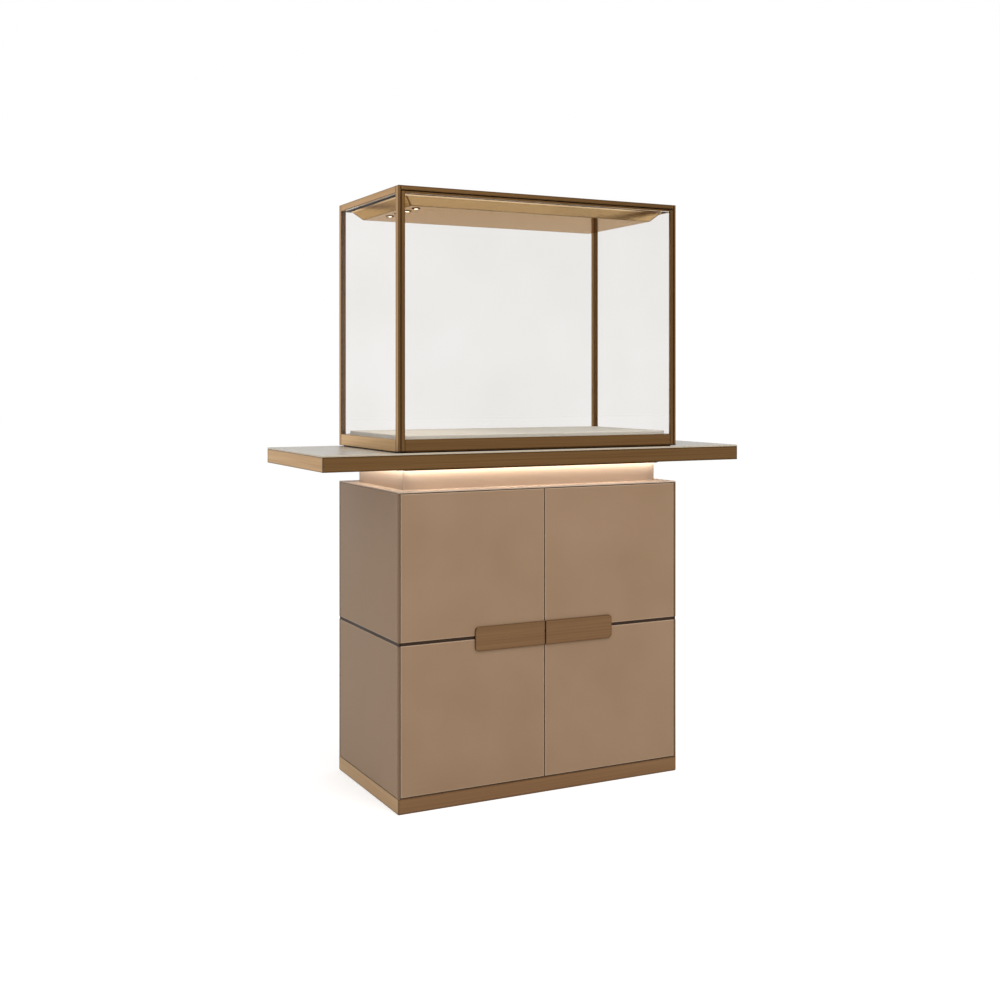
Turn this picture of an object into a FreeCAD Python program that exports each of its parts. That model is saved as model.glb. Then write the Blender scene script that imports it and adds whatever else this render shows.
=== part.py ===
import FreeCAD, Part
import os
import re

# Glass display case: a two-door base cabinet, a lit neck, a wide counter and a glass vitrine.
# Frame: origin on the floor under the middle of the case, +X right, the front towards -Y, +Z up.

# Driving dimensions, in millimetres
SIZES = {
    # Overall stack
    "body_width": 800,
    "body_depth": 414,
    "plinth_height": 38,
    "cabinet_height": 736,
    "neck_height": 53.5,
    "counter_thickness": 40,
    "foot_height": 2.5,
    "vitrine_height": 641,
    # Boards of the cabinet
    "board": 18,
    "back_thickness": 12,
    "ledge_thickness": 3,
    "ledge_edge": 3,
    "band_thickness": 1.5,
    "floor_gap": 1.5,
    "shelf_rise": 342,
    "shelf_setback": 12,
    "shelf_play": 0.5,
    "cleat_width": 15,
    "cleat_height": 20,
    # Facing panels, groove and corner trims
    "facing": 3,
    "panel_bevel": 1.2,
    "bar_bevel": 0.6,
    "cladding_gap": 1,
    "lower_panel_rise": 366,
    "groove_height": 8,
    "trim_face": 4,
    "trim_return": 10,
    # Cabinet doors and their pivots
    "door_core": 18,
    "door_side_gap": 2.2,
    "door_meeting_gap": 3,
    "door_back_gap": 2,
    "pivot_plate": 1.5,
    "pivot_play": 0.6,
    "pivot_plate_depth": 16,
    "pivot_inset": 6,
    "pivot_setback": 3,
    "pin_radius": 2,
    "pin_fit": 0.05,
    "pin_end_room": 1,
    "socket_length": 30,
    "socket_height": 6,
    # Handles
    "handle_length": 195,
    "handle_height": 60,
    "handle_thickness": 5,
    "handle_corner": 10,
    "handle_bevel": 1,
    "handle_drop": 4,
    "handle_screw_inset": 38,
    "handle_screw_drop": 16,
    "screw_radius": 2,
    "screw_fit": 0.1,
    "screw_bite": 3,
    "screw_head_radius": 4,
    "screw_head_height": 2.5,
    # Magnetic catches
    "magnet_length": 40,
    "magnet_depth": 30,
    "magnet_height": 14,
    "magnet_inset": 25,
    "magnet_gap": 0.5,
    "strike_thickness": 1,
    "deck_magnet_height": 12,
    "deck_magnet_inset": 36,
    # Neck and its light
    "neck_side_setback": 35,
    "neck_front_setback": 53,
    "neck_rear_setback": 59,
    "neck_board": 15,
    "led_offset": 2,
    "led_channel_width": 14,
    "led_channel_height": 5.5,
    "led_channel_wall": 1.5,
    "led_strip_thickness": 1.2,
    "led_diffuser_thickness": 1.5,
    "driver_length": 180,
    "driver_depth": 60,
    "driver_height": 30,
    "inlet_flange_width": 50,
    "inlet_flange_height": 30,
    "inlet_flange_thickness": 2,
    "inlet_body_width": 28,
    "inlet_body_height": 20,
    "inlet_body_depth": 22,
    "inlet_wall": 3,
    "inlet_recess": 16,
    "inlet_fit": 0.2,
    # Counter
    "counter_width": 1188,
    "counter_overhang": 12,
    "counter_edge": 3,
    "slab_thickness": 4,
    # Vitrine frame
    "foot_setback": 10,
    "frame_depth": 16,
    "post_face": 6.5,
    "rear_post": 15,
    "side_rail": 12,
    "base_rail_height": 30,
    "top_rail_height": 17.5,
    "front_rail_height": 11,
    "glass": 6,
    "glass_setback": 1,
    "deck_height": 21,
    "deck_side_gap": 17,
    "deck_front_gap": 5,
    "deck_rear_gap": 9,
    # Glass door
    "glass_door_gap": 1.5,
    "stile": 9.5,
    "stile_leg": 3,
    "stile_round": 2,
    "glass_pivot_inset": 4.5,
    "door_glass_setback": 1,
    "swing_room": 2,
    "glass_plate_length": 20,
    # Ceiling and its spotlights
    "ceiling_thickness": 9,
    "cover_thickness": 3,
    "cover_setdown": 1,
    "tray_side_inset": 27,
    "tray_end_inset": 23,
    "tray_side_slope": 25,
    "tray_end_slope": 24,
    "tray_drop": 24,
    "tray_wall": 1.5,
    "spot_pitch": 56,
    "spot_inset": 32,
    "spot_first": 42,
    "spot_radius": 8,
    "spot_height": 18,
    "spot_fit": 0.1,
    "bezel_radius": 11,
    "bezel_height": 2,
    "lens_radius": 7,
    "lens_thickness": 1.5,
    # How far cutting tools reach past what they cut
    "overrun": 2,
}

SPOT_COUNT = 4

# Places worked out from the driving dimensions
PLACES = {
    "left_x": "-body_width / 2",
    "front_y": "-body_depth / 2",
    "rear_y": "body_depth / 2",
    "ledge_high": "plinth_height + cabinet_height",
    "ledge_low": "ledge_high - ledge_thickness",
    "counter_low": "ledge_high + neck_height",
    "counter_high": "counter_low + counter_thickness",
    "vitrine_low": "counter_high + foot_height",
    "vitrine_high": "vitrine_low + vitrine_height",
    # Cabinet
    "carcass_x": "left_x + facing",
    "carcass_width": "body_width - 2 * facing",
    "inside_x": "carcass_x + board",
    "door_back": "front_y + facing + door_core",
    "carcass_front": "door_back + door_back_gap",
    "back_front": "rear_y - back_thickness",
    "carcass_depth": "back_front - carcass_front",
    "inside_low": "plinth_height + board",
    "inside_high": "ledge_low - board",
    "shelf_low": "inside_low + shelf_rise",
    "shelf_depth": "carcass_depth - shelf_setback - shelf_play",
    "groove_low": "plinth_height + lower_panel_rise",
    "groove_high": "groove_low + groove_height",
    # Cabinet doors
    "door_x": "left_x + trim_face + door_side_gap",
    "door_width": "-door_x - door_meeting_gap / 2",
    "door_low": "plinth_height + pivot_plate + pivot_play",
    "door_high": "ledge_low - pivot_plate - pivot_play",
    "core_front": "front_y + facing",
    "pivot_x": "door_x + pivot_inset",
    "pivot_y": "core_front + pivot_setback",
    "pin_length": "pivot_play + socket_height - pin_end_room",
    "handle_x": "-door_meeting_gap / 2 - handle_length",
    "handle_low": "groove_low + groove_height / 2 - handle_drop - handle_height / 2",
    "handle_front": "front_y - handle_thickness",
    "screw_z": "handle_low + handle_height / 2 - handle_screw_drop",
    "screw_tip": "front_y - screw_bite",
    "magnet_x": "-magnet_inset - magnet_length",
    "magnet_low": "inside_high - magnet_height",
    # Neck and counter
    "neck_x": "left_x + neck_side_setback",
    "neck_width": "body_width - 2 * neck_side_setback",
    "neck_front": "front_y + neck_front_setback",
    "neck_rear": "rear_y - neck_rear_setback",
    "neck_middle": "ledge_high + neck_height / 2",
    "slab_low": "counter_high - slab_thickness",
    "counter_x": "-counter_width / 2",
    "counter_front": "front_y - counter_overhang",
    "counter_depth": "body_depth + 2 * counter_overhang",
    # Vitrine
    "frame_back": "front_y + frame_depth",
    "rail_rear": "rear_y - rear_post",
    "side_rail_length": "rail_rear - chamber_front",
    "base_rail_high": "vitrine_low + base_rail_height",
    "top_rail_low": "vitrine_high - top_rail_height",
    "pane_height": "top_rail_low - base_rail_high",
    "post_low": "vitrine_low + pivot_plate",
    "chamber_x": "left_x + side_rail",
    "chamber_width": "body_width - 2 * side_rail",
    "chamber_front": "frame_back + swing_room",
    "floor_high": "vitrine_low + board",
    "deck_x": "left_x + glass_setback + glass + deck_side_gap",
    "deck_front": "frame_back + deck_front_gap",
    "deck_rear": "rail_rear - deck_rear_gap",
    # Glass door
    "glass_door_x": "left_x + post_face + glass_door_gap",
    "glass_door_low": "post_low + pivot_play",
    "glass_door_high": "vitrine_high - front_rail_height - pivot_plate - pivot_play",
    "glass_door_height": "glass_door_high - glass_door_low",
    "door_glass_back": "front_y + door_glass_setback + glass",
    "pane_x": "glass_door_x + stile",
    "glass_pin_length": "pivot_play + socket_height",
    # Ceiling
    "tray_low": "top_rail_low - tray_drop",
    "tray_half_width": "body_width / 2 - tray_side_inset",
    "tray_half_depth": "body_depth / 2 - tray_end_inset",
    "spot_x": "-tray_half_width + tray_side_slope + spot_inset",
    "spot_y": "-tray_half_depth + tray_end_slope + spot_first",
}

# The most that a bevel may take of the thinnest side it lies on
BEVEL_SHARE = 0.3

# How close an edge has to lie to a plane to count as being in it
NEAR = 0.001

# What comes on both sides, and where the outer face of each side lies along X
SIDES = ("left", "right")
OUTER_END = {"left": "low", "right": "high"}

# Turns what runs up into what runs towards the rear
ALONG_Y = FreeCAD.Rotation(FreeCAD.Vector(1, 0, 0), -90)

# Sub-parts in the order they are made, by the name of their file
NODES = {}

doc = FreeCAD.newDocument("display_case")
sheet = doc.addObject("Spreadsheet::Sheet", "Sizes")
for row, (alias, value) in enumerate(SIZES.items(), 1):
    sheet.set(f"A{row}", alias)
    sheet.set(f"B{row}", str(value))
    sheet.setAlias(f"B{row}", alias)
doc.recompute()


def formula(text):
    """Write each size as its cell of the sheet, and each place as its own formula."""
    def swap(match):
        word = match.group()
        if word in PLACES:
            return "(" + formula(PLACES[word]) + ")"
        return "Sizes." + word if word in SIZES else word
    return re.sub(r"[a-z_]+", swap, text)


def bind(thing, **properties):
    for name, text in properties.items():
        thing.setExpression(name, formula(text))


def place(thing, low):
    for axis, text in zip("xyz", low):
        thing.setExpression("Placement.Base." + axis, formula(text))


def on_side(side, low, size):
    """The low corner of a left-hand box, or of its mirror image on the right."""
    if side == "left":
        return low
    return (f"-({low[0]}) - ({size[0]})", low[1], low[2])


def point_on_side(side, point):
    """A point on the left, or its mirror image on the right."""
    if side == "left":
        return point
    return (f"-({point[0]})", point[1], point[2])


def seen_from(base, low):
    """A corner of the part's frame, seen from the low corner of a body."""
    return tuple(f"({a}) - ({b})" for a, b in zip(low, base))


def box_body(name, low, size):
    """A body that starts as a box with its low corner in the given place."""
    body = doc.addObject("PartDesign::Body", name)
    place(body, low)
    box = body.newObject("PartDesign::AdditiveBox", name + "_box")
    bind(box, Length=size[0], Width=size[1], Height=size[2])
    return body


def add_box(body, base, low, size):
    box = body.newObject("PartDesign::AdditiveBox", body.Name + "_more")
    bind(box, Length=size[0], Width=size[1], Height=size[2])
    place(box, seen_from(base, low))


def cut_box(body, base, low, size):
    box = body.newObject("PartDesign::SubtractiveBox", body.Name + "_cut")
    bind(box, Length=size[0], Width=size[1], Height=size[2])
    place(box, seen_from(base, low))


def cylinder(body, kind, base, start, radius, length, along):
    """A cylinder of a body that runs from its start towards +Z or +Y."""
    rod = body.newObject(kind, body.Name + "_rod")
    bind(rod, Radius=radius, Height=length)
    if along == "y":
        rod.Placement = FreeCAD.Placement(FreeCAD.Vector(), ALONG_Y)
    place(rod, seen_from(base, start))


def add_rod(body, base, start, radius, length, along="z"):
    cylinder(body, "PartDesign::AdditiveCylinder", base, start, radius, length, along)


def bore(body, base, start, radius, length, along="z"):
    cylinder(body, "PartDesign::SubtractiveCylinder", base, start, radius, length, along)


def edges_at(body, **ends):
    """Names of a body's edges that lie wholly at the low or high end of the given axes."""
    doc.recompute()
    shape = body.Tip.Shape
    whole = shape.BoundBox
    names = []
    for number, edge in enumerate(shape.Edges, 1):
        own = edge.BoundBox
        hits = []
        for axis, end in ends.items():
            wall = getattr(whole, axis.upper() + ("Min" if end == "low" else "Max"))
            low = getattr(own, axis.upper() + "Min")
            high = getattr(own, axis.upper() + "Max")
            hits.append(max(abs(low - wall), abs(high - wall)) < NEAR)
        if all(hits):
            names.append(f"Edge{number}")
    return names


def round_edges(body, radius, names):
    fillet = body.newObject("PartDesign::Fillet", body.Name + "_round")
    fillet.Base = (body.Group[-2], names)
    bind(fillet, Radius=radius)


def bevel_edges(body, width, thickness, names):
    """Chamfer edges, by no more than the thickness there allows."""
    chamfer = body.newObject("PartDesign::Chamfer", body.Name + "_bevel")
    chamfer.Base = (body.Group[-2], names)
    bind(chamfer, Size=f"min({width}; ({thickness}) * {BEVEL_SHARE})")


def bar(name, low, size):
    """A metal bar with every edge broken."""
    body = box_body(name, low, size)
    thickness = f"min({size[0]}; {size[1]}; {size[2]})"
    bevel_edges(body, "bar_bevel", thickness, [f"Edge{number}" for number in range(1, 13)])
    return body


def panel(name, low, size, **outer):
    """A facing panel with bevelled edges round its outer face."""
    body = box_body(name, low, size)
    bevel_edges(body, "panel_bevel", "facing", edges_at(body, **outer))
    return body


def disc(name, start, radius, length):
    """An upright cylinder."""
    rod = doc.addObject("Part::Cylinder", name)
    bind(rod, Radius=radius, Height=length)
    place(rod, start)
    return rod


def node(label, *members):
    """Name a sub-part: one solid, or a group of separate solids."""
    thing = members[0]
    if len(members) > 1:
        thing = doc.addObject("Part::Compound", label + "_group")
        thing.Links = list(members)
    thing.Label = label
    NODES[label] = thing


def box_node(label, low, size):
    """A sub-part that is a plain box."""
    node(label, box_body(label + "_body", low, size))


def plinth():
    """A board frame on the floor, wrapped by a thin metal band that stops short of the floor."""
    frame_x = "left_x + band_thickness"
    frame_y = "front_y + band_thickness"
    inner_width = "body_width - 2 * band_thickness"
    inner_depth = "body_depth - 2 * band_thickness"
    long_size = (inner_width, "board", "plinth_height")
    short_size = ("board", f"{inner_depth} - 2 * board", "plinth_height")
    short_low = (frame_x, f"{frame_y} + board", "0")
    boards = [
        box_body("plinth_front_board", (frame_x, frame_y, "0"), long_size),
        box_body("plinth_rear_board", (frame_x, f"-({frame_y}) - board", "0"), long_size),
        box_body("plinth_middle_board", ("-board / 2", short_low[1], "0"), short_size),
    ]
    for side in SIDES:
        boards.append(box_body(f"plinth_{side}_board", on_side(side, short_low, short_size), short_size))
    node("plinth_frame", *boards)

    long_size = ("body_width", "band_thickness", "plinth_height - floor_gap")
    short_size = ("band_thickness", inner_depth, "plinth_height - floor_gap")
    short_low = ("left_x", frame_y, "floor_gap")
    bars = [
        bar("band_front", ("left_x", "front_y", "floor_gap"), long_size),
        bar("band_rear", ("left_x", "rear_y - band_thickness", "floor_gap"), long_size),
    ]
    for side in SIDES:
        bars.append(bar(f"band_{side}", on_side(side, short_low, short_size), short_size))
    node("plinth_band", *bars)


def carcass():
    """The cabinet's box of boards, with a divider and a shelf on cleats in each half."""
    wide = ("carcass_width", "carcass_depth", "board")
    upright = ("board", "carcass_depth", "inside_high - inside_low")
    box_node("carcass_bottom", ("carcass_x", "carcass_front", "plinth_height"), wide)
    box_node("carcass_top", ("carcass_x", "carcass_front", "inside_high"), wide)
    box_node("centre_divider", ("-board / 2", "carcass_front", "inside_low"), upright)
    back_size = ("body_width - 2 * trim_face", "back_thickness", "ledge_low - plinth_height")
    box_node("carcass_back", ("left_x + trim_face", "back_front", "plinth_height"), back_size)

    shelf_y = "carcass_front + shelf_setback"
    shelf_size = ("-inside_x - board / 2 - 2 * shelf_play", "shelf_depth", "board")
    cleat_size = ("cleat_width", "shelf_depth", "cleat_height")
    cleat_z = "shelf_low - cleat_height"
    shelves = []
    cleats = []
    for side in SIDES:
        low = on_side(side, ("carcass_x", "carcass_front", "inside_low"), upright)
        box_node(f"carcass_{side}_side", low, upright)
        low = on_side(side, ("inside_x + shelf_play", shelf_y, "shelf_low"), shelf_size)
        shelves.append(box_body(f"{side}_shelf_board", low, shelf_size))
        for end, cleat_x in (("outer", "inside_x"), ("inner", "-board / 2 - cleat_width")):
            low = on_side(side, (cleat_x, shelf_y, cleat_z), cleat_size)
            cleats.append(box_body(f"{side}_{end}_cleat", low, cleat_size))
    node("shelves", *shelves)
    node("shelf_cleats", *cleats)


def side_panels():
    """Facing panels on the cabinet's sides, above and below the groove."""
    panel_y = "front_y + trim_return"
    depth = f"back_front - ({panel_y})"
    lower_z = "plinth_height + cladding_gap"
    spans = {"lower": (lower_z, "groove_low"), "upper": ("groove_high", "ledge_low - cladding_gap")}
    for side in SIDES:
        panels = []
        for level, (low_z, high_z) in spans.items():
            size = ("facing", depth, f"{high_z} - ({low_z})")
            low = on_side(side, ("left_x", panel_y, low_z), size)
            panels.append(panel(f"{side}_{level}_cladding", low, size, x=OUTER_END[side]))
        node(f"{side}_side_panels", *panels)


def corner_trims():
    """Lacquered strips on the four upright corners, notched where the groove passes them."""
    height = "ledge_low - plinth_height"
    depths = {"front": "carcass_front - front_y", "rear": "back_thickness"}
    lows = {"front": "front_y", "rear": "back_front"}
    faces = {"front": "front_y - overrun", "rear": "rear_y - facing"}
    trims = []
    for end, depth in depths.items():
        for side in SIDES:
            size = ("trim_face", depth, height)
            base = on_side(side, ("left_x", lows[end], "plinth_height"), size)
            trim = box_body(f"{end}_{side}_trim", base, size)
            notch = ("facing + overrun", f"{depth} + 2 * overrun", "groove_height")
            low = ("left_x - overrun", f"{lows[end]} - overrun", "groove_low")
            cut_box(trim, base, on_side(side, low, notch), notch)
            notch = ("trim_face + 2 * overrun", "facing + overrun", "groove_height")
            low = ("left_x - overrun", faces[end], "groove_low")
            cut_box(trim, base, on_side(side, low, notch), notch)
            if end == "front":
                rebate = ("facing + overrun", f"{depth} - trim_return + overrun", f"{height} + 2 * overrun")
                low = ("left_x - overrun", "front_y + trim_return", "plinth_height - overrun")
                cut_box(trim, base, on_side(side, low, rebate), rebate)
            outer = edges_at(trim, x=OUTER_END[side], y="low" if end == "front" else "high")
            bevel_edges(trim, "bar_bevel", "trim_face", outer)
            trims.append(trim)
    node("corner_trims", *trims)


def ledge():
    """The cabinet's thin top, edged with strips, that reaches over the doors."""
    size = ("body_width - 2 * ledge_edge", "body_depth - 2 * ledge_edge", "ledge_thickness")
    box_node("ledge_panel", ("left_x + ledge_edge", "front_y + ledge_edge", "ledge_low"), size)
    long_size = ("body_width", "ledge_edge", "ledge_thickness")
    short_size = ("ledge_edge", size[1], "ledge_thickness")
    bars = [
        bar("ledge_front", ("left_x", "front_y", "ledge_low"), long_size),
        bar("ledge_rear", ("left_x", "rear_y - ledge_edge", "ledge_low"), long_size),
    ]
    for side in SIDES:
        low = on_side(side, ("left_x", "front_y + ledge_edge", "ledge_low"), short_size)
        bars.append(bar(f"ledge_{side}", low, short_size))
    node("ledge_trim", *bars)


def base_pivots():
    """Fixed plates whose pins carry the cabinet doors, on the plinth and under the ledge."""
    size = ("socket_length", "pivot_plate_depth", "pivot_plate")
    levels = {
        "lower": ("plinth_height", "plinth_height + pivot_plate"),
        "upper": ("ledge_low - pivot_plate", "ledge_low - pivot_plate - pin_length"),
    }
    plates = []
    for side in SIDES:
        for level, (plate_z, pin_z) in levels.items():
            base = on_side(side, ("door_x", "core_front", plate_z), size)
            plate = box_body(f"{side}_{level}_pivot", base, size)
            pin = point_on_side(side, ("pivot_x", "pivot_y", pin_z))
            add_rod(plate, base, pin, "pin_radius", "pin_length")
            plates.append(plate)
    node("base_pivot_plates", *plates)


def cabinet_door(side):
    """One door: a core faced with two panels, its handle, pivot sockets and magnet strike."""
    screw_x = ["handle_x + handle_screw_inset", "handle_x + handle_length - handle_screw_inset"]
    hole = "screw_radius + screw_fit"

    core_size = ("door_width", "door_core", "door_high - door_low")
    base = on_side(side, ("door_x", "core_front", "door_low"), core_size)
    core = box_body(f"{side}_core", base, core_size)
    socket_size = ("socket_length", "door_core", "socket_height")
    sockets = []
    for level, z in (("lower", "door_low"), ("upper", "door_high - socket_height")):
        low = on_side(side, ("door_x", "core_front", z), socket_size)
        cut_box(core, base, low, socket_size)
        socket = box_body(f"{side}_{level}_socket", low, socket_size)
        pivot = point_on_side(side, ("pivot_x", "pivot_y", f"{z} - overrun"))
        bore(socket, low, pivot, "pin_radius + pin_fit", "socket_height + 2 * overrun")
        sockets.append(socket)
    for x in screw_x:
        start = point_on_side(side, (x, "core_front - overrun", "screw_z"))
        bore(core, base, start, hole, "door_core + 2 * overrun", "y")
    node(f"{side}_door_core", core)
    node(f"{side}_door_pivot_sockets", *sockets)

    size = ("door_width", "facing", "door_high - groove_high")
    low = on_side(side, ("door_x", "front_y", "groove_high"), size)
    node(f"{side}_door_upper_panel", panel(f"{side}_upper_facing", low, size, y="low"))

    size = ("door_width", "facing", "groove_low - door_low")
    base = on_side(side, ("door_x", "front_y", "door_low"), size)
    facing = panel(f"{side}_lower_facing", base, size, y="low")
    for x in screw_x:
        start = point_on_side(side, (x, "front_y - overrun", "screw_z"))
        bore(facing, base, start, hole, "facing + 2 * overrun", "y")
    node(f"{side}_door_lower_panel", facing)

    size = ("handle_length", "handle_thickness", "handle_height")
    base = on_side(side, ("handle_x", "handle_front", "handle_low"), size)
    handle = box_body(f"{side}_handle_plate", base, size)
    corners = edges_at(handle, x=OUTER_END[side], z="low") + edges_at(handle, x=OUTER_END[side], z="high")
    round_edges(handle, "handle_corner", corners)
    bevel_edges(handle, "handle_bevel", "handle_thickness", edges_at(handle, y="low"))
    for x in screw_x:
        start = point_on_side(side, (x, "screw_tip - screw_fit", "screw_z"))
        bore(handle, base, start, hole, "screw_bite + screw_fit + overrun", "y")
    node(f"{side}_door_handle", handle)

    screws = []
    for number, x in enumerate(screw_x):
        start = point_on_side(side, (x, "screw_tip", "screw_z"))
        screw = doc.addObject("PartDesign::Body", f"{side}_handle_screw_{number}")
        place(screw, start)
        add_rod(screw, start, start, "screw_radius", "door_back - screw_tip", "y")
        head = (start[0], "door_back", start[2])
        add_rod(screw, start, head, "screw_head_radius", "screw_head_height", "y")
        screws.append(screw)
    node(f"{side}_handle_screws", *screws)

    size = ("magnet_length", "strike_thickness", "magnet_height")
    low = on_side(side, ("magnet_x", "door_back", "magnet_low"), size)
    box_node(f"{side}_door_strike", low, size)


def magnets():
    """Magnetic catches: one for each cabinet door under the top, one for the glass door on the deck."""
    size = ("magnet_length", "magnet_depth", "magnet_height")
    low = ("magnet_x", "door_back + strike_thickness + magnet_gap", "magnet_low")
    catches = [box_body(f"{side}_magnet", on_side(side, low, size), size) for side in SIDES]
    face = "frame_back + strike_thickness + magnet_gap"
    size = ("magnet_length", f"deck_front - ({face})", "deck_magnet_height")
    catches.append(box_body("deck_magnet", ("deck_x + deck_magnet_inset", face, "floor_high"), size))
    node("magnet_catches", *catches)


def neck():
    """The set-back box between cabinet and counter, with the power inlet in its rear board."""
    long_size = ("neck_width", "neck_board", "neck_height")
    front = box_body("neck_front_board", ("neck_x", "neck_front", "ledge_high"), long_size)
    rear_base = ("neck_x", "neck_rear - neck_board", "ledge_high")
    rear = box_body("neck_rear_board", rear_base, long_size)
    short_size = ("neck_board", "neck_rear - neck_front - 2 * neck_board", "neck_height")
    short_low = ("neck_x", "neck_front + neck_board", "ledge_high")
    sides = []
    for side in SIDES:
        low = on_side(side, short_low, short_size)
        sides.append(box_body(f"neck_{side}_board", low, short_size))

    shell_x = "-inlet_body_width / 2"
    shell_z = "neck_middle - inlet_body_height / 2"
    flange_size = ("inlet_flange_width", "inlet_flange_thickness", "inlet_flange_height")
    flange_low = ("-inlet_flange_width / 2", "neck_rear", "neck_middle - inlet_flange_height / 2")
    inlet = box_body("inlet_flange", flange_low, flange_size)
    shell_size = ("inlet_body_width", "inlet_body_depth", "inlet_body_height")
    add_box(inlet, flange_low, (shell_x, "neck_rear - inlet_body_depth", shell_z), shell_size)
    recess_size = (
        "inlet_body_width - 2 * inlet_wall",
        "inlet_recess + overrun",
        "inlet_body_height - 2 * inlet_wall",
    )
    recess_y = "neck_rear + inlet_flange_thickness - inlet_recess"
    recess_low = (f"{shell_x} + inlet_wall", recess_y, f"{shell_z} + inlet_wall")
    cut_box(inlet, flange_low, recess_low, recess_size)
    window_size = (
        "inlet_body_width + 2 * inlet_fit",
        "neck_board + 2 * overrun",
        "inlet_body_height + 2 * inlet_fit",
    )
    window_y = "neck_rear - neck_board - overrun"
    window_low = (f"{shell_x} - inlet_fit", window_y, f"{shell_z} - inlet_fit")
    cut_box(rear, rear_base, window_low, window_size)
    node("neck_panels", front, rear, *sides)
    node("power_inlet", inlet)


def between_walls(low, size, z, height):
    """A box that fills a light channel between its side walls and its end walls."""
    corner = (f"{low[0]} + led_channel_wall", f"{low[1]} + led_channel_wall", z)
    return corner, (f"{size[0]} - 2 * led_channel_wall", f"{size[1]} - 2 * led_channel_wall", height)


def neck_light():
    """Light strips in channels under the counter, which wash the neck's front and sides."""
    channel_x = "neck_x - led_offset - led_channel_width"
    channel_y = "neck_front - led_offset - led_channel_width"
    channel_z = "counter_low - led_channel_height"
    front_size = ("neck_width", "led_channel_width", "led_channel_height")
    side_size = ("led_channel_width", "neck_rear - neck_front", "led_channel_height")
    runs = {"front": (("neck_x", channel_y, channel_z), front_size)}
    for side in SIDES:
        runs[side] = (on_side(side, (channel_x, "neck_front", channel_z), side_size), side_size)
    channels = []
    strips = []
    diffusers = []
    strip_z = "counter_low - led_channel_wall - led_strip_thickness"
    hollow_height = "led_channel_height - led_channel_wall + overrun"
    for run, (low, size) in runs.items():
        channel = box_body(f"{run}_channel", low, size)
        hollow_low, hollow = between_walls(low, size, f"{channel_z} - overrun", hollow_height)
        cut_box(channel, low, hollow_low, hollow)
        channels.append(channel)
        strip = between_walls(low, size, strip_z, "led_strip_thickness")
        strips.append(box_body(f"{run}_strip", *strip))
        diffuser = between_walls(low, size, channel_z, "led_diffuser_thickness")
        diffusers.append(box_body(f"{run}_diffuser", *diffuser))
    node("led_channels", *channels)
    node("led_strips", *strips)
    node("led_diffusers", *diffusers)
    size = ("driver_length", "driver_depth", "driver_height")
    box_node("led_driver", ("-driver_length / 2", "-driver_depth / 2", "ledge_high"), size)


def counter():
    """A wide counter: a core edged with metal, under a pale slab whose edge shows above the metal."""
    plan_low = ("counter_x + counter_edge", "counter_front + counter_edge")
    plan = ("counter_width - 2 * counter_edge", "counter_depth - 2 * counter_edge")
    box_node("counter_core", (*plan_low, "counter_low"), (*plan, "slab_low - counter_low"))
    slab_size = ("counter_width", "counter_depth", "slab_thickness")
    slab = box_body("counter_top_board", ("counter_x", "counter_front", "slab_low"), slab_size)
    bevel_edges(slab, "bar_bevel", "slab_thickness", edges_at(slab, z="high"))
    node("counter_top", slab)
    long_size = ("counter_width", "counter_edge", "slab_low - counter_low")
    short_size = ("counter_edge", plan[1], "slab_low - counter_low")
    bars = [
        bar("counter_front_edge", ("counter_x", "counter_front", "counter_low"), long_size),
        bar("counter_rear_edge", ("counter_x", "-counter_front - counter_edge", "counter_low"), long_size),
    ]
    for side in SIDES:
        low = on_side(side, ("counter_x", plan_low[1], "counter_low"), short_size)
        bars.append(bar(f"counter_{side}_edge", low, short_size))
    node("counter_edge_band", *bars)


def vitrine_base():
    """A set-back foot, the floor board, the base rails, the sill under the door and the raised deck."""
    foot_low = ("left_x + foot_setback", "front_y + foot_setback", "counter_high")
    foot_size = ("body_width - 2 * foot_setback", "body_depth - 2 * foot_setback", "foot_height")
    box_node("vitrine_foot", foot_low, foot_size)
    floor_size = ("chamber_width", "rail_rear - chamber_front", "board")
    box_node("vitrine_floor", ("chamber_x", "chamber_front", "vitrine_low"), floor_size)
    deck_size = ("-2 * deck_x", "deck_rear - deck_front", "deck_height")
    deck = box_body("deck_board", ("deck_x", "deck_front", "floor_high"), deck_size)
    bevel_edges(deck, "panel_bevel", "deck_height", edges_at(deck, z="high"))
    node("display_deck", deck)
    side_size = ("side_rail", "side_rail_length", "base_rail_height")
    rear_size = ("body_width - 2 * rear_post", "rear_post", "base_rail_height")
    rails = [bar("rear_base_rail", ("left_x + rear_post", "rail_rear", "vitrine_low"), rear_size)]
    for side in SIDES:
        low = on_side(side, ("left_x", "chamber_front", "vitrine_low"), side_size)
        rails.append(bar(f"{side}_base_rail", low, side_size))
    size = ("body_width - 2 * glass_plate_length", "chamber_front - front_y", "pivot_plate")
    rails.append(bar("door_sill", ("left_x + glass_plate_length", "front_y", "vitrine_low"), size))
    node("vitrine_base_rails", *rails)


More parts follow.
